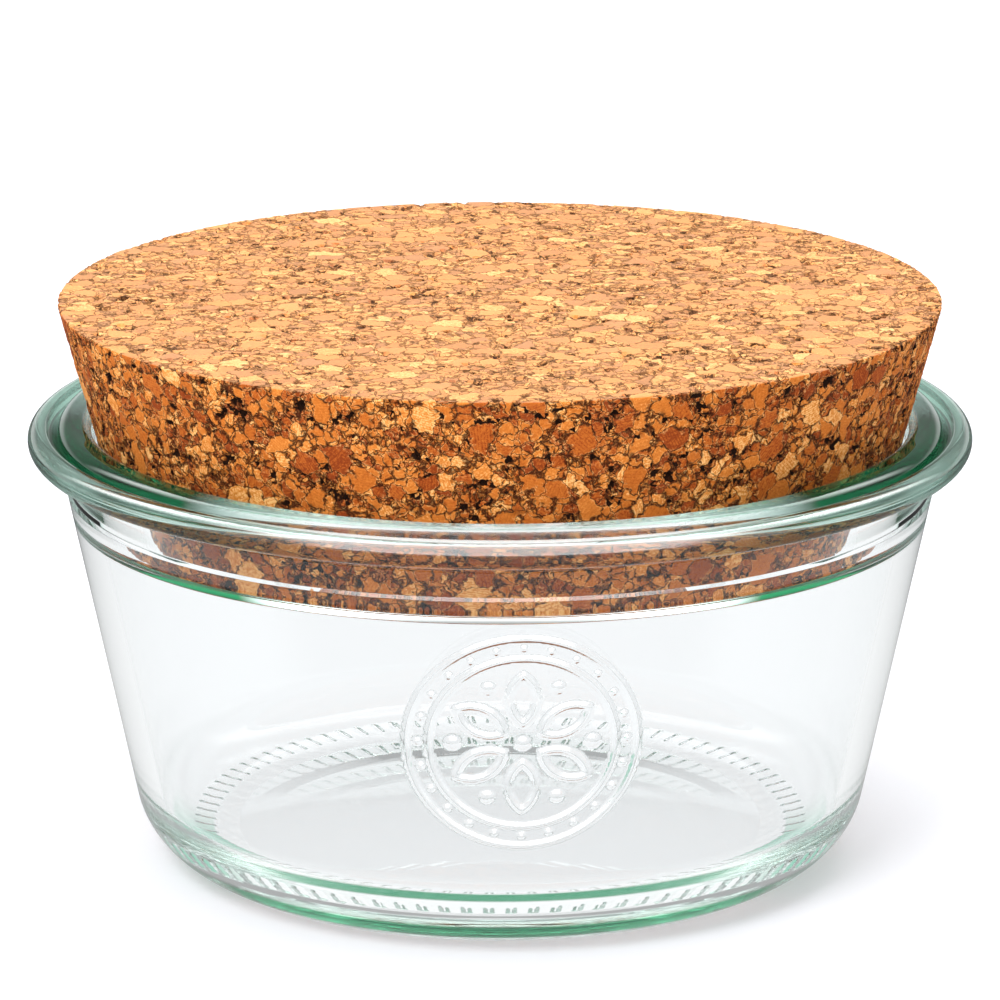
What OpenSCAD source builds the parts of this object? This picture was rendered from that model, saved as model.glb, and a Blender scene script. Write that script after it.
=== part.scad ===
// Low pressed-glass food jar with flared sides, and a tapered cork lid that sits in its mouth.
// Millimetres, +Z up, origin on the surface it stands on, in the middle of the foot.
// Outlines are half sections: each point is [distance from the axis, height].

/* [Glass body] */
// Height of the glass, from the foot to the top of the rim
jar_h = 52.2; // [46:0.1:70]
// Thickness of the side wall
wall_t = 2.7; // [2:0.1:4]
// Lean of the side wall away from upright, in degrees
wall_lean = 11.5; // [6:0.5:14]
// Radius of the rounded heel outside, where wall and foot meet
heel_r = 9.4; // [7:0.1:11]
// Radius of the rounded corner inside, where wall and floor meet
inner_heel_r = 7; // [5:0.1:9]
// Thickness of the floor, measured up from the surface the jar stands on
floor_t = 4.4; // [3.4:0.1:6]

/* [Foot] */
// Width of the flat ring that the jar stands on
foot_w = 2.7; // [1.5:0.1:4]
// Height of the underside's hollow, in its middle
push_up = 1; // [0.4:0.1:2]
// Number of short grip notches round the foot
notch_count = 90; // [60:2:110]
// Length of a notch, outwards along the heel
notch_l = 3.1; // [2:0.1:4]
// Depth of a notch
notch_d = 0.6; // [0.3:0.05:0.8]
// Gap between the flat foot ring and the notches
notch_gap = 0.5; // [0.3:0.1:1]

/* [Rim and neck] */
// Radius of the mouth
mouth_r = 47.3; // [42:0.1:56]
// Rounding of the mouth's upper edge
mouth_round = 1.6; // [0.5:0.1:2.2]
// Width of the raised ring next to the mouth
ring_w = 4.2; // [3.6:0.1:6]
// Rounding of the raised ring's outer edge
ring_round = 1.8; // [0.5:0.1:2.4]
// Radius of the groove between the raised ring and the bead
groove_r = 0.55; // [0.4:0.05:0.8]
// Depth of the groove, below the top of the rim
groove_d = 1.9; // [1.2:0.05:2.2]
// Radius of the bead round the outside of the rim
bead_r = 1.6; // [1.3:0.05:2.2]
// Drop from the top of the rim to the middle of the bead
bead_drop = 2.2; // [1.9:0.05:2.8]
// Rounding in the corner under the rim
under_rim_r = 1.2; // [0.6:0.1:1.5]
// Thickness of the glass below the rim, measured from the mouth
neck_t = 3.05; // [2.5:0.05:4]
// Height of the neck: from the shoulder line to the top of the rim
neck_h = 8.2; // [7.5:0.1:11]
// Step of the shoulder line, where the neck starts
shoulder_step = 0.3; // [0.1:0.05:0.6]
// Depth of the thick collar inside the mouth, below the top of the rim
collar_h = 10.6; // [8.5:0.1:14]
// Narrowing of the collar from the mouth to its lower edge
collar_taper = 1.6; // [0.4:0.1:2.2]
// Rounding of the collar's lower edge
collar_round = 0.6; // [0.3:0.1:0.9]

/* [Front medallion] */
// Outer radius of the raised medallion on the front
medal_r = 13; // [10:0.5:14]
// Height of its middle above the middle of the side wall
medal_shift = 0.3; // [-0.5:0.1:0.5]
// Turn of the medallion round the jar, in degrees
medal_turn = 3; // [-20:1:20]
// Width of its raised lines
medal_line = 0.8; // [0.5:0.1:1.1]
// Height of its raised lines above the wall
medal_relief = 0.45; // [0.3:0.05:0.8]
// Distance between its two rings
medal_band = 2.4; // [2:0.1:3]
// Number of petals
petal_count = 6; // [4:1:8]
// Width of a petal
petal_w = 3.8; // [3:0.1:4.5]
// Number of round pips between the rings
pip_count = 24; // [12:2:30]
// Radius of a pip
pip_r = 0.42; // [0.3:0.02:0.5]

/* [Cork lid] */
// Thickness of the cork
cork_t = 25; // [18:0.5:30]
// Height of the cork above the top of the rim
cork_stand = 14; // [8:0.5:16]
// Lean of the cork's side away from upright, in degrees
cork_lean = 14.7; // [12:0.1:16]
// Gap between the cork and the mouth
cork_gap = 0.25; // [0.15:0.05:0.5]
// Rounding of the cork's edges
cork_round = 0.6; // [0.3:0.1:1.2]

/* [Hidden] */

// Segments of each rounded stretch of an outline, of a whole turn, of a flat ring and of a pip
arc_steps = 10;
turn_steps = 180;
ring_steps = 96;
pip_steps = 32;

// Heights
shoulder_z = jar_h - neck_h;
collar_z = jar_h - collar_h;
bead_z = jar_h - bead_drop;

// Radii of the outer wall at a height, and of the inner wall
function wall_out(z) = mouth_r + neck_t + tan(wall_lean) * (z - shoulder_z);
function wall_in(z) = wall_out(z) - wall_t / cos(wall_lean);

// Middles of the heel's arcs, which touch the floor and the wall
heel_x = wall_out(heel_r) - heel_r / cos(wall_lean);
inner_heel_z = floor_t + inner_heel_r;
inner_heel_x = wall_in(inner_heel_z) - inner_heel_r / cos(wall_lean);

// Foot ring and the hollow underside, part of a large sphere
foot_in = heel_x - foot_w;
hollow_r = (foot_in * foot_in + push_up * push_up) / (2 * push_up);
hollow_half = asin(foot_in / hollow_r);

// Neck and rim
neck_r = wall_out(shoulder_z) - shoulder_step;
ring_out = mouth_r + ring_w;
groove_x = ring_out + groove_r;
groove_z = jar_h - groove_d + groove_r;
bead_end = 110;
groove_start = -20;
collar_end = 250;
bead_x = groove_x + groove_r - bead_r * cos(bead_end);
collar_in = mouth_r - collar_taper;

// Angle at which the ring's rounding runs on into the groove, upright or leaning but never undercut
groove_rise = max(0, ring_round + groove_r - groove_d);
ring_lean = 2 * atan(groove_rise / (ring_round + groove_r));

// Cork: its side passes the rounded edge of the mouth at the chosen gap
mouth_edge_z = jar_h - mouth_round;
cork_mid_r = mouth_r + mouth_round - (mouth_round + cork_gap) / cos(cork_lean);
cork_top_z = jar_h + cork_stand;
cork_bottom_z = cork_top_z - cork_t;
function cork_r(z) = cork_mid_r + tan(cork_lean) * (z - mouth_edge_z);
cork_low_edge_z = cork_bottom_z + cork_round;
cork_high_edge_z = cork_top_z - cork_round;
function cork_edge_x(z) = cork_r(z) - cork_round / cos(cork_lean);

// Medallion: its place, its inner ring, its petals and the depth its lines are drawn through
medal_z = (heel_r + shoulder_z) / 2 + medal_shift;
medal_ring_r = medal_r - medal_band;
petal_gap = 1.1;
petal_l = medal_ring_r - 2 * medal_line - 2 * petal_gap;
medal_depth = medal_r;

// Points along an arc, from angle a0 to angle a1
function arc(x, z, r, a0, a1) =
    [for (i = [0:arc_steps]) let (a = a0 + (a1 - a0) * i / arc_steps)
        [x + r * cos(a), z + r * sin(a)]];

// Half section of the glass: underside, heel, wall, neck, rim, mouth, collar, inner wall, floor
function jar_outline() = concat(
    arc(0, push_up - hollow_r, hollow_r, 90, 90 - hollow_half),
    arc(heel_x, heel_r, heel_r, -90, -wall_lean),
    [[wall_out(shoulder_z), shoulder_z], [neck_r, shoulder_z + shoulder_step]],
    arc(neck_r + under_rim_r, bead_z - bead_r - under_rim_r, under_rim_r, 180, 90),
    arc(bead_x, bead_z, bead_r, -90, bead_end),
    arc(groove_x, groove_z, groove_r, groove_start, ring_lean - 180),
    arc(ring_out - ring_round, jar_h - ring_round, ring_round, ring_lean, 90),
    arc(mouth_r + mouth_round, jar_h - mouth_round, mouth_round, 90, 180),
    arc(collar_in + collar_round, collar_z + collar_round, collar_round, 180, collar_end),
    [[wall_in(collar_z - collar_round), collar_z - collar_round]],
    arc(inner_heel_x, inner_heel_z, inner_heel_r, -wall_lean, -90),
    [[0, floor_t]]
);

// Half section of the cork: flat bottom, tapered side, flat top, with small rounded edges
function cork_outline() = concat(
    [[0, cork_bottom_z]],
    arc(cork_edge_x(cork_low_edge_z), cork_low_edge_z, cork_round, -90, -cork_lean),
    arc(cork_edge_x(cork_high_edge_z), cork_high_edge_z, cork_round, -cork_lean, 90),
    [[0, cork_top_z]]
);

// Space of one notch: a square bar on edge, laid outwards along the heel's first rise
module notch() {
    rise = asin((notch_gap + notch_l / 2) / heel_r);
    side = sqrt(2) * notch_d;
    translate([heel_x, 0, heel_r])
        rotate([0, -rise, 0])
        translate([0, 0, -heel_r])
        rotate([45, 0, 0])
        cube([notch_l, side, side], center = true);
}

// Ring of raised line, by its outer radius
module line_ring(r) {
    difference() {
        circle(r = r, $fn = ring_steps);
        circle(r = r - medal_line, $fn = ring_steps);
    }
}

// Pointed oval between two arcs, standing on its lower tip
module pointed_oval(l, w) {
    bow = (l * l / 4 + w * w / 4) / w;
    translate([0, l / 2])
        intersection() {
            translate([bow - w / 2, 0]) circle(r = bow, $fn = ring_steps);
            translate([w / 2 - bow, 0]) circle(r = bow, $fn = ring_steps);
        }
}

// Outline of one petal in raised line
module petal() {
    tip = medal_line * petal_l / petal_w;
    difference() {
        pointed_oval(petal_l, petal_w);
        translate([0, tip]) pointed_oval(petal_l - 2 * tip, petal_w - 2 * medal_line);
    }
}

// The medallion's raised lines, flat: two rings, pips between them, petals and a middle pip
module medallion_lines() {
    line_ring(medal_r);
    line_ring(medal_ring_r);
    circle(r = medal_line, $fn = pip_steps);
    for (i = [0:pip_count - 1])
        rotate(i * 360 / pip_count)
            translate([medal_r - (medal_band + medal_line) / 2, 0])
            circle(r = pip_r, $fn = pip_steps);
    for (i = [0:petal_count - 1]) {
        rotate(i * 360 / petal_count)
            translate([0, medal_line + petal_gap])
            petal();
        rotate((i + 0.5) * 360 / petal_count)
            translate([0, medal_ring_r - medal_line - 2 * petal_gap])
            circle(r = medal_line, $fn = pip_steps);
    }
}

// Band that stands proud of the side wall by the medallion's relief, and reaches into the glass
module relief_band() {
    low_z = medal_z - medal_r - medal_line;
    high_z = medal_z + medal_r + medal_line;
    rotate_extrude($fn = turn_steps)
        polygon([
            [wall_out(low_z) - wall_t / 2, low_z],
            [wall_out(low_z) + medal_relief, low_z],
            [wall_out(high_z) + medal_relief, high_z],
            [wall_out(high_z) - wall_t / 2, high_z]
        ]);
}

// Raised lines of the medallion, wrapped on the front of the wall
module medallion() {
    intersection() {
        relief_band();
        rotate([0, 0, medal_turn])
            translate([0, medal_depth / 2 - wall_out(medal_z), medal_z])
            rotate([90, 0, 0])
            linear_extrude(height = medal_depth)
            medallion_lines();
    }
}

module jar() {
    color([0.80, 0.90, 0.86, 0.45])
        union() {
            difference() {
                rotate_extrude($fn = turn_steps) polygon(jar_outline());
                for (i = [0:notch_count - 1])
                    rotate([0, 0, i * 360 / notch_count]) notch();
            }
            medallion();
        }
}

module cork_lid() {
    color([0.80, 0.55, 0.33])
        rotate_extrude($fn = turn_steps) polygon(cork_outline());
}

jar();
cork_lid();
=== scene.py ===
import logging
import math
from dataclasses import dataclass, field
from enum import Enum
from typing import Iterable, Sequence, Union

import bmesh
import bpy
import numpy as np
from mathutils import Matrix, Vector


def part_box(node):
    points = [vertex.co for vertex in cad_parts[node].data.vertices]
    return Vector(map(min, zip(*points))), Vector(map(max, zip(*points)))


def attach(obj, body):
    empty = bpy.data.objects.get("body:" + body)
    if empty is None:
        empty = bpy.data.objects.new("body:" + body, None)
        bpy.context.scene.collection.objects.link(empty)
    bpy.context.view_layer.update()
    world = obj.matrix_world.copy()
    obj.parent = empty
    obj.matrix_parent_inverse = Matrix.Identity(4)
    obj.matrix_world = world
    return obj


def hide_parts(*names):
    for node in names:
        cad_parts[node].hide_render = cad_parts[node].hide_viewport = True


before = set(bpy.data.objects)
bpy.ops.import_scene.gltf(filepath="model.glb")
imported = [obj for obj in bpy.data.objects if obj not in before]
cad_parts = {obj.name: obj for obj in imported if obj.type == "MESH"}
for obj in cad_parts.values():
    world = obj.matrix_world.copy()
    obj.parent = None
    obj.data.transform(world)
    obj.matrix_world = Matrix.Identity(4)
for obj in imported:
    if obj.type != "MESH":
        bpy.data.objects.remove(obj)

LOG = logging.getLogger("jar_with_cork_lid")
MM = 0.001
FULL_TURN = 2 * math.pi

Point = tuple[float, float]
Outline = list[Point]
Socket = bpy.types.NodeSocket
Feed = Union[Socket, float, Sequence[float]]


class RayKind(Enum):
    """Kinds of ray that Light Path tells apart."""

    CAMERA = "Is Camera Ray"
    GLOSSY = "Is Glossy Ray"
    TRANSMISSION = "Is Transmission Ray"
    SCATTERED = "Diffuse Depth"


class CellPart(Enum):
    """What is read from a field of cells."""

    BODY = "F1"
    BORDER = "DISTANCE_TO_EDGE"


def arc_points(x: float, z: float, r: float, a0: float, a1: float, steps: int) -> Outline:
    """Points along an arc of an outline.

    Args:
        x: Distance of the arc's middle from the axis.
        z: Height of the arc's middle.
        r: Radius.
        a0: First angle in degrees, counted from outwards.
        a1: Last angle in degrees.
        steps: Number of segments.

    Returns:
        The points, first and last included.
    """
    angles = np.radians(np.linspace(a0, a1, steps + 1))
    return [(x + r * math.cos(a), z + r * math.sin(a)) for a in angles]


def joined(stretches: Iterable[Outline], longest: float, edge: float = 0.0) -> Outline:
    """Joins stretches of an outline, with extra points along its straight lines.

    Args:
        stretches: The stretches in order.
        longest: Greatest distance between neighbours.
        edge: Distance from a straight line's ends to its first and last extra point, which keeps
            its corners crisp under smooth shading, or 0 for none.

    Returns:
        One outline without doubled points.
    """
    corners = [p for stretch in stretches for p in stretch]
    points = [corners[0]]
    for r, z in corners[1:]:
        r0, z0 = points[-1]
        length = math.hypot(r - r0, z - z0)
        if length < 1e-6:
            continue
        parts = max(1, math.ceil(length / longest))
        shares = [k / parts for k in range(1, parts + 1)]
        if edge and length > 4 * edge:
            shares = sorted([edge / length, 1 - edge / length] + [s for s in shares if edge < s * length])
            shares = [s for s in shares if s == 1 or s * length < length - edge or s == 1 - edge / length]
        points += [(r0 + (r - r0) * s, z0 + (z - z0) * s) for s in shares]
    return points


def smooth_step(low: float, high: float, value: np.ndarray) -> np.ndarray:
    """Rises from 0 at low to 1 at high, without corners."""
    t = np.clip((value - low) / (high - low), 0.0, 1.0)
    return t * t * (3 - 2 * t)


class Graph:
    """Builds nodes in a shader tree or a geometry tree, both of which have the kinds used here."""

    def __init__(self, tree: bpy.types.NodeTree) -> None:
        """Keeps the tree."""
        self.tree = tree

    def node(self, kind: str, inputs: dict[str, Feed] | None = None, **settings: object) -> bpy.types.Node:
        """Adds a node.

        Args:
            kind: Blender's name for the node.
            inputs: Values or sockets for its inputs.
            **settings: Properties of the node.

        Returns:
            The new node.
        """
        new = self.tree.nodes.new(kind)
        for name, value in settings.items():
            setattr(new, name, value)
        for name, value in (inputs or {}).items():
            self.feed(new.inputs[name], value)
        return new

    def feed(self, socket: Socket, value: Feed) -> None:
        """Links a socket to another one, or sets its value."""
        if isinstance(value, bpy.types.NodeSocket):
            self.tree.links.new(value, socket)
        else:
            socket.default_value = value

    def math(self, operation: str, *values: Feed, clamp: bool = False) -> Socket:
        """Result of a Math node.

        Args:
            operation: Blender's name for the sum.
            *values: Up to three inputs.
            clamp: Whether the result is held between 0 and 1.

        Returns:
            The output.
        """
        new = self.node("ShaderNodeMath", operation=operation, use_clamp=clamp)
        for socket, value in zip(new.inputs, values):
            self.feed(socket, value)
        return new.outputs[0]

    def vector(self, operation: str, first: Feed, second: Feed | None = None, scale: Feed | None = None) -> Socket:
        """Result of a Vector Math node.

        Args:
            operation: Blender's name for the sum.
            first: First vector.
            second: Second vector, where the sum has one.
            scale: Factor of a SCALE.

        Returns:
            The output, a number for a LENGTH.
        """
        new = self.node("ShaderNodeVectorMath", operation=operation)
        self.feed(new.inputs[0], first)
        if second is not None:
            self.feed(new.inputs[1], second)
        if scale is not None:
            self.feed(new.inputs["Scale"], scale)
        return new.outputs["Value" if operation == "LENGTH" else "Vector"]

    def parts(self, vector: Feed) -> list[Socket]:
        """The three numbers of a vector or colour."""
        return list(self.node("ShaderNodeSeparateXYZ", {"Vector": vector}).outputs)

    def blend(self, share: Feed, low: Feed, high: Feed) -> Socket:
        """A number between low and high, by share."""
        new = self.node("ShaderNodeMix", data_type="FLOAT")
        for socket, value in zip(new.inputs[0:1] + new.inputs[2:4], (share, low, high)):
            self.feed(socket, value)
        return new.outputs[0]

    def blend_colour(self, share: Feed, low: Feed, high: Feed, how: str = "MIX") -> Socket:
        """A colour between low and high, by share, or their product or other mix."""
        new = self.node("ShaderNodeMix", data_type="RGBA", blend_type=how)
        for socket, value in zip((new.inputs[0], new.inputs[6], new.inputs[7]), (share, low, high)):
            self.feed(socket, value)
        return new.outputs[2]

    def ease(self, value: Feed, low: float, high: float, to_low: Feed = 0.0, to_high: Feed = 1.0) -> Socket:
        """Maps low to high onto to_low to to_high with soft ends, and holds it there."""
        new = self.node(
            "ShaderNodeMapRange",
            {"Value": value, "From Min": low, "From Max": high, "To Min": to_low, "To Max": to_high},
            interpolation_type="SMOOTHSTEP",
        )
        return new.outputs["Result"]

    def noise(self, vector: Feed, scale: float, detail: float = 2.0, roughness: float = 0.5) -> bpy.types.Node:
        """A Noise Texture node over a vector."""
        return self.node(
            "ShaderNodeTexNoise", {"Vector": vector, "Scale": scale, "Detail": detail, "Roughness": roughness}
        )

    def cells(self, vector: Feed, size: float, part: CellPart) -> bpy.types.Node:
        """A Voronoi Texture node whose cells are about size across."""
        return self.node("ShaderNodeTexVoronoi", {"Vector": vector, "Scale": 1 / size}, feature=part.value)

    def ramp(self, value: Feed, stops: Sequence[tuple[float, Sequence[float]]]) -> Socket:
        """A colour from stops of (place, colour)."""
        new = self.node("ShaderNodeValToRGB", {"Fac": value})
        elements = new.color_ramp.elements
        while len(elements) < len(stops):
            elements.new(1.0)
        for element, (place, colour) in zip(elements, stops):
            element.position = place
            element.color = (*colour, 1.0)
        return new.outputs["Color"]


def new_material(name: str) -> tuple[bpy.types.Material, Graph, bpy.types.Node, bpy.types.Node]:
    """Starts a material.

    Args:
        name: Its name.

    Returns:
        The material, its graph, its Principled node and its output node.
    """
    material = bpy.data.materials.new(name)
    material.use_nodes = True
    graph = Graph(material.node_tree)
    nodes = material.node_tree.nodes
    nodes.clear()
    output = graph.node("ShaderNodeOutputMaterial")
    shader = graph.node("ShaderNodeBsdfPrincipled")
    graph.feed(output.inputs["Surface"], shader.outputs[0])
    return material, graph, shader, output


def new_object(name: str, mesh: bpy.types.Mesh, material: bpy.types.Material) -> bpy.types.Object:
    """Puts a mesh into the scene, smooth, under its own name and with one material."""
    piece = bpy.data.objects.new(name, mesh)
    bpy.context.scene.collection.objects.link(piece)
    mesh.materials.clear()
    mesh.materials.append(material)
    mesh.polygons.foreach_set("use_smooth", [True] * len(mesh.polygons))
    return piece


@dataclass(frozen=True)
class GlassFinish:
    """Clear pressed glass with painted green shade: dark green on the rim's left and right sides, and green low on the
    heel and its notches in front, standing in for the green that long light paths through the thick glass show.
    """

    index: float = 1.52
    clear: tuple[float, float, float] = (0.955, 0.965, 0.975)
    side_shade_green: tuple[float, float, float] = (0.0001, 0.018, 0.0030)
    bead_shade_green: tuple[float, float, float] = (0.36, 0.58, 0.49)
    pale_green: tuple[float, float, float] = (0.96, 0.98, 0.97)
    heel_shade_green: tuple[float, float, float] = (0.006, 0.120, 0.040)
    absorbed: tuple[float, float, float] = (0.45, 0.87, 0.74)
    density: float = 4.0
    rim_low: float = 46.6
    rim_high: float = 48.4
    mouth_in: float = 47.7
    mouth_out: float = 48.5
    ring_in: float = 47.7
    ring_out: float = 48.3
    groove_in: float = 52.4
    groove_out: float = 53.6
    pale_end: float = 0.30
    bead_start: float = 0.62
    side_shade_start: float = 0.52
    side_shade_full: float = 0.68
    top_fade: float = 0.95
    top_end: float = 0.985
    heel_full: float = 3.4
    heel_end: float = 4.4
    heel_in: float = 38.4
    heel_out: float = 39.2
    notch_shade_green: tuple[float, float, float] = (0.10, 0.46, 0.28)
    notch_in: float = 34.0
    notch_start: float = 0.72
    notch_full: float = 0.88
    ring_gloss: float = 0.15
    heel_fade: float = 0.72
    heel_side: float = 0.92
    back_start: float = -0.10
    back_end: float = 0.25

    def tint(self, graph: Graph) -> tuple[Socket, Socket]:
        """Colour of the glass and of its shine by place: painted green shade on the rim's sides and low in front.

        Args:
            graph: The tree to build in.

        Returns:
            The glass's colour, and the shine's.
        """
        place = graph.vector("SCALE", graph.node("ShaderNodeTexCoord").outputs["Object"], scale=1 / MM)
        x, y, height = graph.parts(place)
        radius = graph.vector("LENGTH", graph.vector("MULTIPLY", place, (1.0, 1.0, 0.0)))
        side = graph.math("DIVIDE", graph.math("ABSOLUTE", x), radius)
        # Painted shade: the ring and groove turn dark green towards the left and right sides, in front only, standing
        # in for long light paths through the thick rim.
        beyond_ring = graph.ease(radius, self.ring_in, self.ring_out)
        top_only = graph.blend(beyond_ring, graph.ease(side, self.top_fade, self.top_end, 1.0, 0.0), 1.0)
        side_shade = graph.math("MULTIPLY", graph.ease(side, self.side_shade_start, self.side_shade_full), top_only)
        side_shade = graph.math("MULTIPLY", side_shade, graph.ease(radius, self.groove_in, self.groove_out, 1.0, 0.0))
        back = graph.math("DIVIDE", y, radius)
        side_shade = graph.math("MULTIPLY", side_shade, graph.ease(back, self.back_start, self.back_end, 1.0, 0.0))
        rim = graph.ease(height, self.rim_low, self.rim_high)
        rim = graph.math("MULTIPLY", rim, graph.ease(radius, self.mouth_in, self.mouth_out))
        # Painted shade: the rim is pale at the front and greener towards the sides.
        sides = graph.ease(side, self.pale_end, self.bead_start)
        green = graph.blend_colour(sides, (*self.pale_green, 1.0), (*self.bead_shade_green, 1.0))
        green = graph.blend_colour(side_shade, green, (*self.side_shade_green, 1.0))
        # Painted shade: a green band low on the heel, in front only and fading towards the sides.
        heel = graph.ease(height, self.heel_full, self.heel_end, 1.0, 0.0)
        heel = graph.math("MULTIPLY", heel, graph.ease(radius, self.heel_in, self.heel_out))
        heel = graph.math("MULTIPLY", heel, graph.ease(side, self.heel_fade, self.heel_side, 1.0, 0.0))
        heel = graph.math("MULTIPLY", heel, graph.math("LESS_THAN", y, 0.0))
        # Painted shade: green on the heel's notches towards the sides of the front.
        notch = graph.ease(height, self.heel_full, self.heel_end, 1.0, 0.0)
        notch = graph.math("MULTIPLY", notch, graph.ease(radius, self.notch_in, self.notch_in + 0.5))
        notch = graph.math("MULTIPLY", notch, graph.ease(side, self.notch_start, self.notch_full))
        notch = graph.math("MULTIPLY", notch, graph.ease(back, -0.3, 0.1, 1.0, 0.0))
        body = graph.blend_colour(notch, (*self.clear, 1.0), (*self.notch_shade_green, 1.0))
        body = graph.blend_colour(heel, body, (*self.heel_shade_green, 1.0))
        on_ring = graph.ease(radius, self.groove_in, self.groove_out, self.ring_gloss, 1.0)
        shine = graph.blend(rim, 1.0, on_ring)
        shine = graph.node("ShaderNodeCombineXYZ", {"X": shine, "Y": shine, "Z": shine}).outputs[0]
        return graph.blend_colour(rim, body, green), shine

    def material(self) -> bpy.types.Material:
        """Builds the glass."""
        material, graph, shader, output = new_material("pressed_glass")
        colour, shine = self.tint(graph)
        graph.feed(shader.inputs["Base Color"], colour)
        graph.feed(shader.inputs["Specular Tint"], shine)
        graph.feed(shader.inputs["Roughness"], 0.0)
        graph.feed(shader.inputs["IOR"], self.index)
        graph.feed(shader.inputs["Transmission Weight"], 1.0)
        inside = graph.node("ShaderNodeVolumeAbsorption", {"Color": (*self.absorbed, 1.0), "Density": self.density})
        graph.feed(output.inputs["Volume"], inside.outputs[0])
        return material


@dataclass(frozen=True)
class ChipSockets:
    """What the pattern of cork chips gives at each point."""

    tone: Socket
    second_tone: Socket
    border: Socket
    gap: Socket
    hollow: Socket
    grain: Socket
    relief: Socket


@dataclass(frozen=True)
class CorkFinish:
    """Pressed cork: chips of mixed size and tone, thin dark gaps between them, small hollows painted near black as
    shade, and painted highlights along the chips' edges.
    """

    chip: float = 2.6
    flake: float = 1.45
    crumb: float = 0.72
    chip_share: float = 0.26
    flake_share: float = 0.72
    warp: float = 0.9
    warp_scale: float = 0.7
    gap_narrow: float = 0.04
    gap_wide: float = 0.26
    gap_grain: float = 1.1
    hollow_share: float = 0.24
    gap_depth: float = 0.14
    hollow_depth: float = 0.36
    step_depth: float = 0.10
    grain_depth: float = 0.05
    line_pitch: float = 0.34
    line_share: float = 0.15
    grain_share: float = 1.5
    highlight_in: float = 0.06
    highlight_out: float = 0.24
    highlight_share: float = 0.50
    tones: tuple[tuple[float, tuple[float, float, float]], ...] = (
        (0.00, (0.240, 0.042, 0.008)),
        (0.15, (0.400, 0.086, 0.014)),
        (0.45, (0.530, 0.145, 0.021)),
        (0.75, (0.640, 0.200, 0.034)),
        (0.93, (0.760, 0.300, 0.070)),
        (1.00, (0.900, 0.500, 0.190)),
    )
    gap_colour: tuple[float, float, float] = (0.040, 0.008, 0.002)
    hollow_shade_colour: tuple[float, float, float] = (0.010, 0.003, 0.001)
    highlight_colour: tuple[float, float, float] = (0.900, 0.500, 0.190)
    upward_colour: tuple[float, float, float] = (0.72, 0.50, 0.27)
    upward_share: float = 0.34
    upward_fill: float = 0.25

    def field(self, graph: Graph, place: Socket, size: float) -> tuple[Socket, Socket, Socket, Socket]:
        """One size of chip.

        Args:
            graph: The tree to build in.
            place: Place in millimetres.
            size: The chips' size across.

        Returns:
            Three random numbers for each chip, and the distance to its border in millimetres.
        """
        first, second, third = graph.parts(graph.cells(place, size, CellPart.BODY).outputs["Color"])
        distance = graph.cells(place, size, CellPart.BORDER).outputs["Distance"]
        return first, second, third, graph.math("MULTIPLY", distance, size)

    def pattern(self, graph: Graph, place: Socket) -> ChipSockets:
        """Builds the chips, in a shader tree or in a geometry tree.

        Args:
            graph: The tree to build in.
            place: Place in metres.

        Returns:
            The chips' sockets, with lengths in millimetres.
        """
        flat = graph.vector("SCALE", place, scale=1 / MM)
        shift = graph.vector("SUBTRACT", graph.noise(flat, self.warp_scale, 3.0, 0.6).outputs["Color"], (0.5, 0.5, 0.5))
        bent = graph.vector("ADD", flat, graph.vector("SCALE", shift, scale=2 * self.warp))
        chip, chip_pick, chip_rest, chip_border = self.field(graph, bent, self.chip)
        flake, flake_pick, flake_rest, flake_border = self.field(graph, bent, self.flake)
        crumb, crumb_pick, crumb_rest, crumb_border = self.field(graph, bent, self.crumb)
        is_chip = graph.math("LESS_THAN", chip_pick, self.chip_share)
        is_flake = graph.math("LESS_THAN", flake_pick, self.flake_share)
        tone = graph.blend(is_chip, graph.blend(is_flake, crumb, flake), chip)
        second = graph.blend(is_chip, graph.blend(is_flake, crumb_rest, flake_rest), chip_rest)
        inner = graph.blend(is_flake, graph.math("MINIMUM", crumb_border, flake_border), flake_border)
        border = graph.blend(is_chip, graph.math("MINIMUM", inner, chip_border), chip_border)
        spread = graph.noise(flat, self.gap_grain, 2.0).outputs["Fac"]
        width = graph.ease(spread, 0.42, 0.68, self.gap_narrow, self.gap_wide)
        gap = graph.math("SUBTRACT", 1.0, graph.math("DIVIDE", border, width, clamp=True))
        loose = graph.math("MULTIPLY", graph.math("SUBTRACT", 1.0, is_chip), graph.math("SUBTRACT", 1.0, is_flake))
        hollow = graph.math("MULTIPLY", graph.math("LESS_THAN", crumb_pick, self.hollow_share), loose)
        grain = graph.noise(bent, 3.2, 4.0, 0.7).outputs["Fac"]
        depth = graph.math("MULTIPLY", gap, self.gap_depth)
        depth = graph.math("ADD", depth, graph.math("MULTIPLY", hollow, self.hollow_depth))
        depth = graph.math("ADD", depth, graph.math("MULTIPLY", second, self.step_depth))
        return ChipSockets(tone, second, border, gap, hollow, grain, graph.math("MULTIPLY", depth, -1.0))

    def lines(self, graph: Graph, place: Socket, chips: ChipSockets) -> Socket:
        """Growth lines, which run another way in each chip.

        Args:
            graph: The tree to build in.
            place: Place in metres.
            chips: The chips.

        Returns:
            0 between lines to 1 on them.
        """
        flat = graph.vector("SCALE", place, scale=FULL_TURN / MM / self.line_pitch)
        turn = graph.math("MULTIPLY", chips.second_tone, FULL_TURN)
        slope = graph.math("MULTIPLY", graph.math("SUBTRACT", chips.tone, 0.5), 2.0)
        way = graph.node(
            "ShaderNodeCombineXYZ", {"X": graph.math("COSINE", turn), "Y": slope, "Z": graph.math("SINE", turn)}
        )
        along = graph.node("ShaderNodeVectorMath", {0: flat, 1: way.outputs[0]}, operation="DOT_PRODUCT")
        phase = graph.math("ADD", along.outputs["Value"], graph.math("MULTIPLY", chips.grain, 9.0))
        return graph.ease(graph.math("SINE", phase), 0.2, 1.0)

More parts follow.
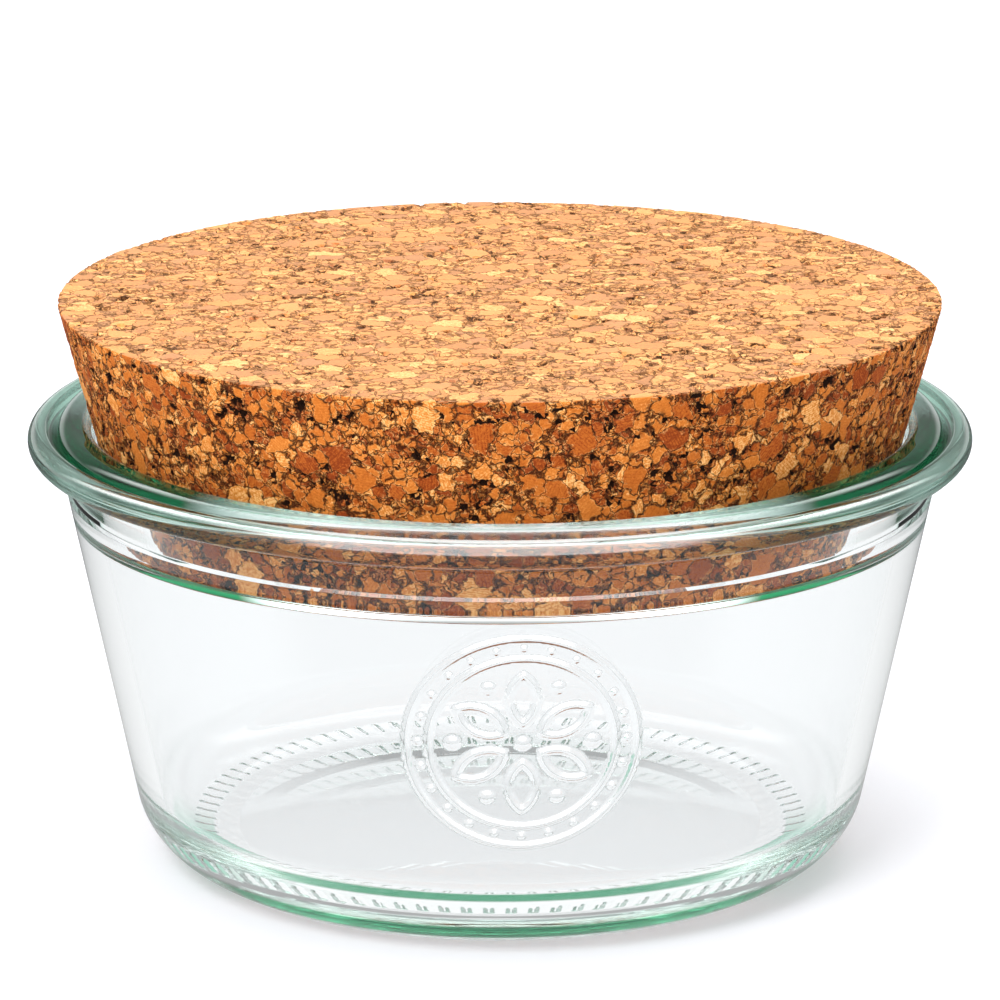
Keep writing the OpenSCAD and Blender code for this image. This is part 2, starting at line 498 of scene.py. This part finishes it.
    def material(self) -> bpy.types.Material:
        """Builds the cork."""
        material, graph, shader, _ = new_material("pressed_cork")
        place = graph.node("ShaderNodeTexCoord").outputs["Object"]
        chips = self.pattern(graph, place)
        grain = graph.math("MULTIPLY", graph.math("SUBTRACT", chips.grain, 0.5), self.grain_share)
        tone = graph.math("ADD", chips.tone, grain)
        tone = graph.math("SUBTRACT", tone, graph.math("MULTIPLY", self.lines(graph, place, chips), self.line_share))
        colour = graph.ramp(tone, self.tones)
        # Faces that point up get a lighter colour, and fewer dark gaps and hollows.
        upward = graph.ease(graph.parts(graph.node("ShaderNodeNewGeometry").outputs["True Normal"])[2], 0.4, 0.9)
        colour = graph.blend_colour(graph.math("MULTIPLY", upward, self.upward_share), colour, (*self.upward_colour, 1.0))
        # Painted highlight: a lighter band along the chips' edges, where the grain allows.
        lit = graph.ease(chips.border, self.highlight_in, self.highlight_out, 1.0, 0.0)
        lit = graph.math("MULTIPLY", lit, graph.ease(chips.grain, 0.45, 0.62, 0.0, self.highlight_share))
        colour = graph.blend_colour(lit, colour, (*self.highlight_colour, 1.0))
        open_share = graph.math("SUBTRACT", 1.0, graph.math("MULTIPLY", upward, self.upward_fill))
        gap = graph.math("MULTIPLY", graph.math("POWER", chips.gap, 0.7), open_share)
        colour = graph.blend_colour(gap, colour, (*self.gap_colour, 1.0))
        # Painted shade: hollows are coloured near black.
        hollow = graph.math("MULTIPLY", chips.hollow, open_share)
        colour = graph.blend_colour(hollow, colour, (*self.hollow_shade_colour, 1.0))
        graph.feed(shader.inputs["Base Color"], colour)
        graph.feed(shader.inputs["Roughness"], graph.ease(chips.second_tone, 0.0, 1.0, 0.65, 0.9))
        graph.feed(shader.inputs["Specular IOR Level"], 0.08)
        fine = graph.math("MULTIPLY", chips.grain, self.grain_depth)
        bump = graph.node(
            "ShaderNodeBump",
            {"Height": graph.math("ADD", chips.relief, fine), "Distance": MM, "Strength": 0.9},
        )
        graph.feed(shader.inputs["Normal"], bump.outputs[0])
        return material

    def press(self, piece: bpy.types.Object) -> None:
        """Sinks gaps and hollows into a cork mesh for real, by the same chips as the material's.

        Args:
            piece: The cork, whose mesh is replaced.
        """
        tree = bpy.data.node_groups.new("cork_relief", "GeometryNodeTree")
        for way in ("INPUT", "OUTPUT"):
            tree.interface.new_socket("Geometry", in_out=way, socket_type="NodeSocketGeometry")
        graph = Graph(tree)
        chips = self.pattern(graph, graph.node("GeometryNodeInputPosition").outputs[0])
        depth = graph.math("MULTIPLY", chips.relief, MM)
        offset = graph.vector("SCALE", graph.node("GeometryNodeInputNormal").outputs[0], scale=depth)
        moved = graph.node(
            "GeometryNodeSetPosition",
            {"Geometry": graph.node("NodeGroupInput").outputs[0], "Offset": offset},
        )
        graph.feed(graph.node("NodeGroupOutput").inputs[0], moved.outputs[0])
        step = piece.modifiers.new("relief", "NODES")
        step.node_group = tree
        seen = piece.evaluated_get(bpy.context.evaluated_depsgraph_get())
        pressed = bpy.data.meshes.new_from_object(seen)
        piece.modifiers.clear()
        piece.data = pressed
        bpy.data.node_groups.remove(tree)


@dataclass
class PressedJar:
    """The glass: rim, neck, flared wall, rounded heel, notched foot and raised medallion, in one piece."""

    height: float
    radius: float
    wall: float = 2.7
    lean: float = 11.5
    heel: float = 9.4
    inner_heel: float = 7.0
    floor: float = 4.4
    foot: float = 2.7
    push_up: float = 1.0
    notches: int = 90
    notch_length: float = 3.1
    notch_depth: float = 0.6
    notch_gap: float = 0.5
    mouth_round: float = 1.6
    ring: float = 4.2
    ring_round: float = 1.8
    groove: float = 0.55
    groove_depth: float = 1.9
    bead: float = 1.6
    bead_drop: float = 2.2
    bead_end: float = 110.0
    under_rim: float = 1.2
    neck_wall: float = 3.05
    neck: float = 8.2
    shoulder_step: float = 0.3
    collar: float = 10.6
    collar_taper: float = 1.6
    collar_round: float = 0.6
    medal: float = 13.0
    medal_shift: float = 0.3
    medal_turn: float = 3.0
    medal_line: float = 0.8
    medal_relief: float = 0.45
    medal_band: float = 2.4
    petals: int = 6
    petal_width: float = 3.8
    petal_gap: float = 1.1
    pips: int = 24
    pip: float = 0.42
    columns: int = 180
    longest_row: float = 1.5
    crisp: float = 0.12
    finish: GlassFinish = field(default_factory=GlassFinish)

    @property
    def mouth(self) -> float:
        """Radius of the mouth."""
        bead_reach = self.bead * (1 - math.cos(math.radians(self.bead_end)))
        return self.radius - bead_reach - 2 * self.groove - self.ring

    @property
    def shoulder_z(self) -> float:
        """Height of the line where the neck starts."""
        return self.height - self.neck

    @property
    def heel_x(self) -> float:
        """Distance of the heel arc's middle from the axis, which is also the foot ring's outer radius."""
        return self.outside(self.heel) - self.heel / math.cos(math.radians(self.lean))

    @property
    def medal_z(self) -> float:
        """Height of the medallion's middle."""
        return (self.heel + self.shoulder_z) / 2 + self.medal_shift

    def outside(self, z: float) -> float:
        """Radius of the outer wall at a height."""
        return self.mouth + self.neck_wall + math.tan(math.radians(self.lean)) * (z - self.shoulder_z)

    def inside(self, z: float) -> float:
        """Radius of the inner wall at a height."""
        return self.outside(z) - self.wall / math.cos(math.radians(self.lean))

    def outline(self) -> Outline:
        """Half section of the glass, from the underside's middle round to the floor's middle."""
        foot_in = self.heel_x - self.foot
        hollow = (foot_in**2 + self.push_up**2) / (2 * self.push_up)
        half = math.degrees(math.asin(foot_in / hollow))
        neck = self.outside(self.shoulder_z) - self.shoulder_step
        ring_out = self.mouth + self.ring
        groove_x = ring_out + self.groove
        bead_x = groove_x + self.groove - self.bead * math.cos(math.radians(self.bead_end))
        bead_z = self.height - self.bead_drop
        collar_x = self.mouth - self.collar_taper + self.collar_round
        collar_z = self.height - self.collar + self.collar_round
        inner_z = self.floor + self.inner_heel
        inner_x = self.inside(inner_z) - self.inner_heel / math.cos(math.radians(self.lean))
        step_z = self.height - self.collar - self.collar_round
        groove_z = self.height - self.groove_depth + self.groove
        rise = max(0.0, self.ring_round + self.groove - self.groove_depth)
        ring_lean = 2 * math.degrees(math.atan(rise / (self.ring_round + self.groove)))
        return joined(
            [
                arc_points(0, self.push_up - hollow, hollow, 90, 90 - half, 14),
                arc_points(self.heel_x, self.heel, self.heel, -90, -62, 12),
                arc_points(self.heel_x, self.heel, self.heel, -62, -self.lean, 16),
                [(self.outside(self.shoulder_z), self.shoulder_z), (neck, self.shoulder_z + self.shoulder_step)],
                arc_points(neck + self.under_rim, bead_z - self.bead - self.under_rim, self.under_rim, 180, 90, 12),
                arc_points(bead_x, bead_z, self.bead, -90, self.bead_end, 32),
                arc_points(groove_x, groove_z, self.groove, -20, ring_lean - 180, 14),
                arc_points(ring_out - self.ring_round, self.height - self.ring_round, self.ring_round, ring_lean, 90, 20),
                arc_points(
                    self.mouth + self.mouth_round, self.height - self.mouth_round, self.mouth_round, 90, 180, 20
                ),
                arc_points(collar_x, collar_z, self.collar_round, 180, 250, 10),
                [(self.inside(step_z), step_z)],
                arc_points(inner_x, inner_z, self.inner_heel, -self.lean, -90, 20),
                [(0.0, self.floor)],
            ],
            self.longest_row,
            self.crisp,
        )

    def lathe(self) -> bmesh.types.BMesh:
        """Turns the outline round the axis.

        Returns:
            A closed mesh in millimetres.
        """
        outline = self.outline()
        mesh = bmesh.new()
        angles = [FULL_TURN * k / self.columns for k in range(self.columns)]
        rings: list[list[bmesh.types.BMVert]] = []
        for r, z in outline:
            if r < 1e-6:
                rings.append([mesh.verts.new((0, 0, z))])
            else:
                rings.append([mesh.verts.new((r * math.cos(a), r * math.sin(a), z)) for a in angles])
        for low, high in zip(rings, rings[1:]):
            for k in range(self.columns):
                after = (k + 1) % self.columns
                corners = [low[k % len(low)], low[after % len(low)], high[after % len(high)], high[k % len(high)]]
                mesh.faces.new(list(dict.fromkeys(corners)))
        return mesh

    def notched(self, mesh: bmesh.types.BMesh) -> None:
        """Cuts the ring of short notches into the heel's first rise.

        Args:
            mesh: The lathed glass.
        """
        middle = self.notch_gap + self.notch_length / 2
        top = self.heel_height(self.heel_x + 2 * middle)
        near = [v for v in mesh.verts if self.on_heel(v) and 0 < v.co.z <= top]
        chosen = set(near)
        rings = [e for v in near for e in v.link_edges if e.other_vert(v) in chosen]
        level = [e for e in set(rings) if abs(e.verts[0].co.z - e.verts[1].co.z) < 1e-4]
        bmesh.ops.subdivide_edges(mesh, edges=level, cuts=4)
        for v in mesh.verts:
            if not (self.on_heel(v) and 0 < v.co.z <= top + 1e-4):
                continue
            angle = math.atan2(v.co.y, v.co.x)
            rise = math.acos(max(-1.0, min(1.0, (self.heel - v.co.z) / self.heel)))
            out = self.heel * math.sin(rise)
            pitch = FULL_TURN / self.notches
            across = abs((angle + pitch / 2) % pitch - pitch / 2) * (self.heel_x + out)
            along = abs(out - middle) / (self.notch_length / 2)
            sunk = max(0.0, self.notch_depth - across) * float(1 - smooth_step(0.7, 1.15, np.float64(along)))
            radius = self.heel_x + (self.heel - sunk) * math.sin(rise)
            v.co.x = radius * math.cos(angle)
            v.co.y = radius * math.sin(angle)
            v.co.z = self.heel - (self.heel - sunk) * math.cos(rise)

    def heel_height(self, r: float) -> float:
        """Height of the heel's arc at a distance from the axis."""
        return self.heel - math.sqrt(self.heel**2 - (r - self.heel_x) ** 2)

    def on_heel(self, v: bmesh.types.BMVert) -> bool:
        """Whether a point lies on the heel's outside, or on a chord of it."""
        r = math.hypot(v.co.x, v.co.y)
        return r > self.heel_x - 0.1 and abs(math.hypot(r - self.heel_x, v.co.z - self.heel) - self.heel) < 0.3

    def relief(self, x: float, y: float) -> float:
        """Height of the medallion's raised lines.

        Args:
            x: Place across, from its middle.
            y: Place upwards.

        Returns:
            The height above the wall.
        """
        half = self.medal_line / 2
        from_middle = math.hypot(x, y)
        inner = self.medal - self.medal_band
        away = min(abs(from_middle - self.medal + half), abs(from_middle - inner + half))
        angle = math.atan2(x, y)
        pip_r = self.medal - (self.medal_band + self.medal_line) / 2
        dots = [(self.pips, 0.0, pip_r, self.pip), (self.petals, 0.5, inner - self.medal_line - 2 * self.petal_gap, 2 * half)]
        shares = [away / half, from_middle / (2 * half)]
        for count, turn, place, size in dots:
            pitch = FULL_TURN / count
            off = (angle - turn * pitch + pitch / 2) % pitch - pitch / 2
            shares.append(math.hypot(from_middle * math.sin(off), from_middle * math.cos(off) - place) / size)
        length = inner - 2 * self.medal_line - 2 * self.petal_gap
        pitch = FULL_TURN / self.petals
        off = (angle + pitch / 2) % pitch - pitch / 2
        across = from_middle * math.sin(off)
        along = from_middle * math.cos(off) - self.medal_line - self.petal_gap - length / 2
        bow = (length**2 / 4 + self.petal_width**2 / 4) / self.petal_width
        border = math.hypot(abs(across) + bow - self.petal_width / 2, along) - bow
        shares.append(abs(border + half) / half)
        share = min(shares)
        return self.medal_relief * max(0.0, 1 - share * share) ** 0.75

    def embossed(self, mesh: bmesh.types.BMesh) -> None:
        """Raises the medallion on the front of the wall.

        Args:
            mesh: The lathed glass.
        """
        turn = math.radians(self.medal_turn)
        reach = self.medal + self.medal_line

        def flat(x: float, y: float, z: float) -> tuple[float, float]:
            """Place on the medallion as seen from the front."""
            return x * math.cos(turn) + y * math.sin(turn), z - self.medal_z

        def near(face: bmesh.types.BMFace) -> bool:
            """Whether a face of the outer wall's front comes under the medallion."""
            c = face.calc_center_median()
            u, v = flat(c.x, c.y, c.z)
            on_wall = math.hypot(c.x, c.y) > self.outside(c.z) - self.wall / 2
            return on_wall and c.y < 0 and abs(u) < reach and abs(v) < reach

        front = [f for f in mesh.faces if near(f)]
        edges = list({e for f in front for e in f.edges})
        bmesh.ops.subdivide_edges(mesh, edges=edges, cuts=7, use_grid_fill=True)
        for v in mesh.verts:
            radius = math.hypot(v.co.x, v.co.y)
            if v.co.y > 0 or radius < self.outside(v.co.z) - self.wall / 2:
                continue
            across, up = flat(*v.co)
            if abs(across) > reach + 2 or abs(up) > reach + 2:
                continue
            grown = (self.outside(v.co.z) + self.relief(across, up)) / radius
            v.co.x *= grown
            v.co.y *= grown

    def build(self) -> bpy.types.Object:
        """Makes the glass.

        Returns:
            The finished piece.
        """
        mesh = self.lathe()
        self.notched(mesh)
        self.embossed(mesh)
        bmesh.ops.triangulate(mesh, faces=[f for f in mesh.faces if len(f.verts) > 4])
        bmesh.ops.recalc_face_normals(mesh, faces=mesh.faces)
        bmesh.ops.scale(mesh, vec=(MM, MM, MM), verts=mesh.verts)
        data = bpy.data.meshes.new("jar_glass")
        mesh.to_mesh(data)
        mesh.free()
        piece = new_object("jar_glass", data, self.finish.material())
        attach(piece, "jar")
        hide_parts("jar")
        return piece


@dataclass
class CorkLid:
    """The tapered disc of pressed cork, level in the mouth."""

    top: float
    bottom: float
    radius: float
    lean: float = 14.7
    edge_round: float = 0.3
    fine: float = 0.48
    coarse: float = 1.3
    finish: CorkFinish = field(default_factory=CorkFinish)

    def outline(self) -> Outline:
        """Half section from the bottom's middle round to the top's middle, with rows as close as the chips need."""
        slope = math.tan(math.radians(self.lean))
        reach = self.edge_round / math.cos(math.radians(self.lean))
        high = self.top - self.edge_round
        low = self.bottom + self.edge_round
        high_x = self.radius - self.edge_round
        low_x = high_x + reach - slope * (high - low) - reach
        under = joined([[(0.0, self.bottom), (low_x - self.coarse, self.bottom)]], self.coarse)
        rest = joined(
            [
                under[-1:],
                arc_points(low_x, low, self.edge_round, -90, -self.lean, 3),
                arc_points(high_x, high, self.edge_round, -self.lean, 90, 4),
                [(0.0, self.top)],
            ],
            self.fine,
        )
        return under + rest[1:]

    def mesh(self) -> bpy.types.Mesh:
        """Turns the outline with rings of even spacing, and joins the rings by triangles.

        Returns:
            A closed mesh in metres.
        """
        outline = self.outline()
        points: list[tuple[float, float, float]] = []
        faces: list[tuple[int, int, int]] = []
        rings: list[list[int]] = []
        for (r, z), (r0, z0) in zip(outline, outline[1:] + outline[-2:-1]):
            spacing = max(math.hypot(r - r0, z - z0), self.fine * 0.8)
            count = 1 if r < 1e-6 else max(6, round(FULL_TURN * r / spacing))
            start = len(points)
            for k in range(count):
                angle = FULL_TURN * k / count
                points.append((r * math.cos(angle) * MM, r * math.sin(angle) * MM, z * MM))
            rings.append(list(range(start, start + count)))
        for low, high in zip(rings, rings[1:]):
            faces += self.strip(low, high)
        data = bpy.data.meshes.new("cork_lid_disc")
        data.from_pydata(points, [], faces)
        data.update()
        return data

    @staticmethod
    def strip(low: Sequence[int], high: Sequence[int]) -> list[tuple[int, int, int]]:
        """Triangles between two rings that may have different numbers of points.

        Args:
            low: Points of the first ring.
            high: Points of the second ring.

        Returns:
            The triangles, facing outwards.
        """
        faces = []
        i = j = 0
        low_end = len(low) if len(low) > 1 else 0
        high_end = len(high) if len(high) > 1 else 0
        while i < low_end or j < high_end:
            low_next = (i + 1) / low_end if i < low_end else 2.0
            high_next = (j + 1) / high_end if j < high_end else 2.0
            a, b = low[i % len(low)], high[j % len(high)]
            if low_next <= high_next:
                faces.append((a, low[(i + 1) % len(low)], b))
                i += 1
            else:
                faces.append((a, high[(j + 1) % len(high)], b))
                j += 1
        return faces

    def build(self) -> bpy.types.Object:
        """Makes the cork.

        Returns:
            The finished piece.
        """
        piece = new_object("cork_lid_disc", self.mesh(), self.finish.material())
        self.finish.press(piece)
        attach(piece, "cork_lid")
        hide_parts("cork_lid")
        return piece


@dataclass(frozen=True)
class Lamp:
    """A soft square lamp that looks at the jar."""

    name: str
    place: tuple[float, float, float]
    side: float
    watts: float

    def build(self, target: tuple[float, float, float]) -> bpy.types.Object:
        """Hangs the lamp, facing a point, and keeps its square out of the glass."""
        data = bpy.data.lights.new(self.name, "AREA")
        data.shape = "SQUARE"
        data.size = self.side
        data.energy = self.watts
        lamp = bpy.data.objects.new(self.name, data)
        bpy.context.scene.collection.objects.link(lamp)
        lamp.location = self.place
        aim = np.array(target) - np.array(self.place)
        lamp.rotation_euler = (
            math.acos(-aim[2] / float(np.linalg.norm(aim))),
            0.0,
            math.atan2(aim[0], -aim[1]) + math.pi,
        )
        lamp.visible_glossy = False
        lamp.visible_transmission = False
        return lamp


@dataclass
class Studio:
    """Pale floor, bright surroundings, soft lamps and the camera."""

    camera_place: tuple[float, float, float] = (0.0, -0.550, 0.1936)
    camera_down: float = 15.47
    focal_px: float = 4888.0
    frame_px: float = 1000.0
    sensor: float = 36.0
    floor_side: float = 6.0
    floor_bounce: float = 0.86
    floor_seen: tuple[float, float, float] = (0.56, 0.57, 0.61)
    floor_glow: float = 0.43
    floor_gloss: float = 0.15
    floor_near_gloss: float = 0.45
    gloss_near: float = 0.08
    gloss_far: float = 0.15
    ambient: float = 0.62
    wall_top: float = 0.10
    wall_end: float = 0.22
    ceiling: float = 0.45
    dark: float = 0.35
    softbox: float = 13.0
    softbox_low: float = 9.0
    softbox_passed: float = 3.5
    wall_passed: float = 1.10
    front_passed: float = 0.45
    front_lit: float = 2.2
    back_lit: float = 0.50
    floor_front: float = 0.40
    floor_lit: float = 1.6
    lamps: tuple[Lamp, ...] = (
        Lamp("key_lamp", (-0.35, -0.65, 0.80), 0.45, 9.0),
        Lamp("top_lamp", (0.10, 0.15, 0.95), 0.60, 7.0),
    )

    def camera(self) -> bpy.types.Object:
        """Sets the camera up at the photograph's angle."""
        data = bpy.data.cameras.new("camera")
        data.sensor_width = self.sensor
        data.lens = self.focal_px / self.frame_px * self.sensor
        data.clip_start = 0.01
        camera = bpy.data.objects.new("camera", data)
        bpy.context.scene.collection.objects.link(camera)
        camera.location = self.camera_place
        camera.rotation_euler = (math.radians(90 - self.camera_down), 0.0, 0.0)
        bpy.context.scene.camera = camera
        return camera

    @staticmethod
    def rays(graph: Graph) -> tuple[Socket, Socket, Socket, Socket]:
        """Light Path's answers.

        Args:
            graph: The tree to build in.

        Returns:
            1 for camera rays, 1 for rays that passed through glass, 1 for rays thrown back by gloss, and 1
            for rays that carry light to a matt surface.
        """
        path = graph.node("ShaderNodeLightPath").outputs
        passed = path[RayKind.TRANSMISSION.value]
        thrown = graph.math("SUBTRACT", path[RayKind.GLOSSY.value], passed, clamp=True)
        lighting = graph.math("GREATER_THAN", path[RayKind.SCATTERED.value], 0.5)
        return path[RayKind.CAMERA.value], passed, thrown, lighting

    def surroundings(self) -> None:
        """Makes the world: white to the camera and through glass, and one wide softbox to gloss."""
        world = bpy.data.worlds.new("surroundings")
        bpy.context.scene.world = world
        world.use_nodes = True
        graph = Graph(world.node_tree)
        world.node_tree.nodes.clear()
        output = graph.node("ShaderNodeOutputWorld")
        background = graph.node("ShaderNodeBackground", {"Strength": 1.0})
        graph.feed(output.inputs["Surface"], background.outputs[0])
        x, y, z = graph.parts(graph.node("ShaderNodeTexCoord").outputs["Generated"])
        straight, passed, thrown, lighting = self.rays(graph)
        above = graph.ease(z, self.wall_top, self.wall_end)
        box = graph.math("MULTIPLY", graph.ease(graph.math("ABSOLUTE", x), 0.55, 0.80, 1.0, 0.0), above)
        box = graph.math("MULTIPLY", box, graph.ease(y, 0.55, 0.70, 1.0, 0.0))
        strip = graph.blend(graph.ease(y, 0.20, 0.32), self.softbox_low, self.softbox)
        gloss = graph.blend(box, graph.blend(above, 1.0, self.dark), strip)
        front = graph.ease(y, -0.5, -0.05, 1.0, 0.0)
        through = graph.blend(box, graph.blend(above, self.wall_passed, self.ceiling), self.softbox_passed)
        through = graph.blend(front, through, self.front_passed)
        through = graph.blend(lighting, through, graph.blend(front, self.back_lit, self.front_lit))
        level = graph.blend(passed, self.ambient, through)
        level = graph.blend(thrown, level, gloss)
        level = graph.blend(straight, level, 1.0)
        colour = graph.node("ShaderNodeCombineXYZ", {"X": level, "Y": level, "Z": level})
        graph.feed(background.inputs["Color"], colour.outputs[0])

    def floor(self) -> bpy.types.Object:
        """Lays the floor: white to glass, white with a soft shadow to the camera, and plain paper to other light."""
        half = self.floor_side / 2
        data = bpy.data.meshes.new("studio_floor")
        data.from_pydata([(-half, -half, 0), (half, -half, 0), (half, half, 0), (-half, half, 0)], [], [(0, 1, 2, 3)])
        material, graph, shader, output = new_material("paper_floor")
        straight, passed, thrown, lighting = self.rays(graph)
        colour = graph.blend_colour(straight, (*[self.floor_bounce] * 3, 1.0), (*self.floor_seen, 1.0))
        colour = graph.blend_colour(graph.math("MAXIMUM", passed, thrown), colour, (0.0, 0.0, 0.0, 1.0))
        graph.feed(shader.inputs["Base Color"], colour)
        graph.feed(shader.inputs["Roughness"], 0.9)
        graph.feed(shader.inputs["Specular IOR Level"], 0.0)
        place = graph.node("ShaderNodeTexCoord").outputs["Object"]
        below = graph.ease(graph.parts(place)[1], -0.16, -0.09, self.floor_front, self.wall_passed)
        below = graph.math("MULTIPLY", passed, graph.blend(lighting, below, self.floor_lit))
        glow = graph.math("ADD", graph.math("MULTIPLY", straight, self.floor_glow), below)
        away = graph.vector("LENGTH", place)
        gloss = graph.ease(away, self.gloss_near, self.gloss_far, self.floor_near_gloss, self.floor_gloss)
        glow = graph.math("ADD", glow, graph.math("MULTIPLY", thrown, gloss))
        light = graph.node("ShaderNodeEmission", {"Strength": glow})
        both = graph.node("ShaderNodeAddShader")
        graph.feed(both.inputs[0], shader.outputs[0])
        graph.feed(both.inputs[1], light.outputs[0])
        graph.feed(output.inputs["Surface"], both.outputs[0])
        floor = new_object("studio_floor", data, material)
        return floor

    def build(self) -> None:
        """Sets up everything that isn't the object."""
        self.camera()
        self.surroundings()
        self.floor()
        for lamp in self.lamps:
            lamp.build((0.0, 0.0, 0.03))
        scene = bpy.context.scene
        scene.view_settings.view_transform = "Standard"
        scene.cycles.max_bounces = 32
        scene.cycles.transmission_bounces = 32
        scene.cycles.glossy_bounces = 32
        scene.cycles.transparent_max_bounces = 16


def corners(box: Sequence[Sequence[float]]) -> list[list[float]]:
    """A box's two corners as plain lists of numbers."""
    return [[float(v) for v in corner] for corner in box]


def main() -> None:
    """Builds the studio and both pieces."""
    logging.basicConfig(level=logging.INFO, format="%(name)s: %(message)s")
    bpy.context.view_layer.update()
    Studio().build()
    jar_low, jar_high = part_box("jar")
    lid_low, lid_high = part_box("cork_lid")
    jar = PressedJar(height=jar_high.z / MM, radius=min(-jar_low.x, jar_high.x, -jar_low.y, jar_high.y) / MM).build()
    lid = CorkLid(top=lid_high.z / MM, bottom=lid_low.z / MM, radius=lid_high.x / MM).build()
    for piece in (jar, lid):
        LOG.info("%s: %d faces", piece.name, len(piece.data.polygons))


if __name__ == "__main__":
    main()
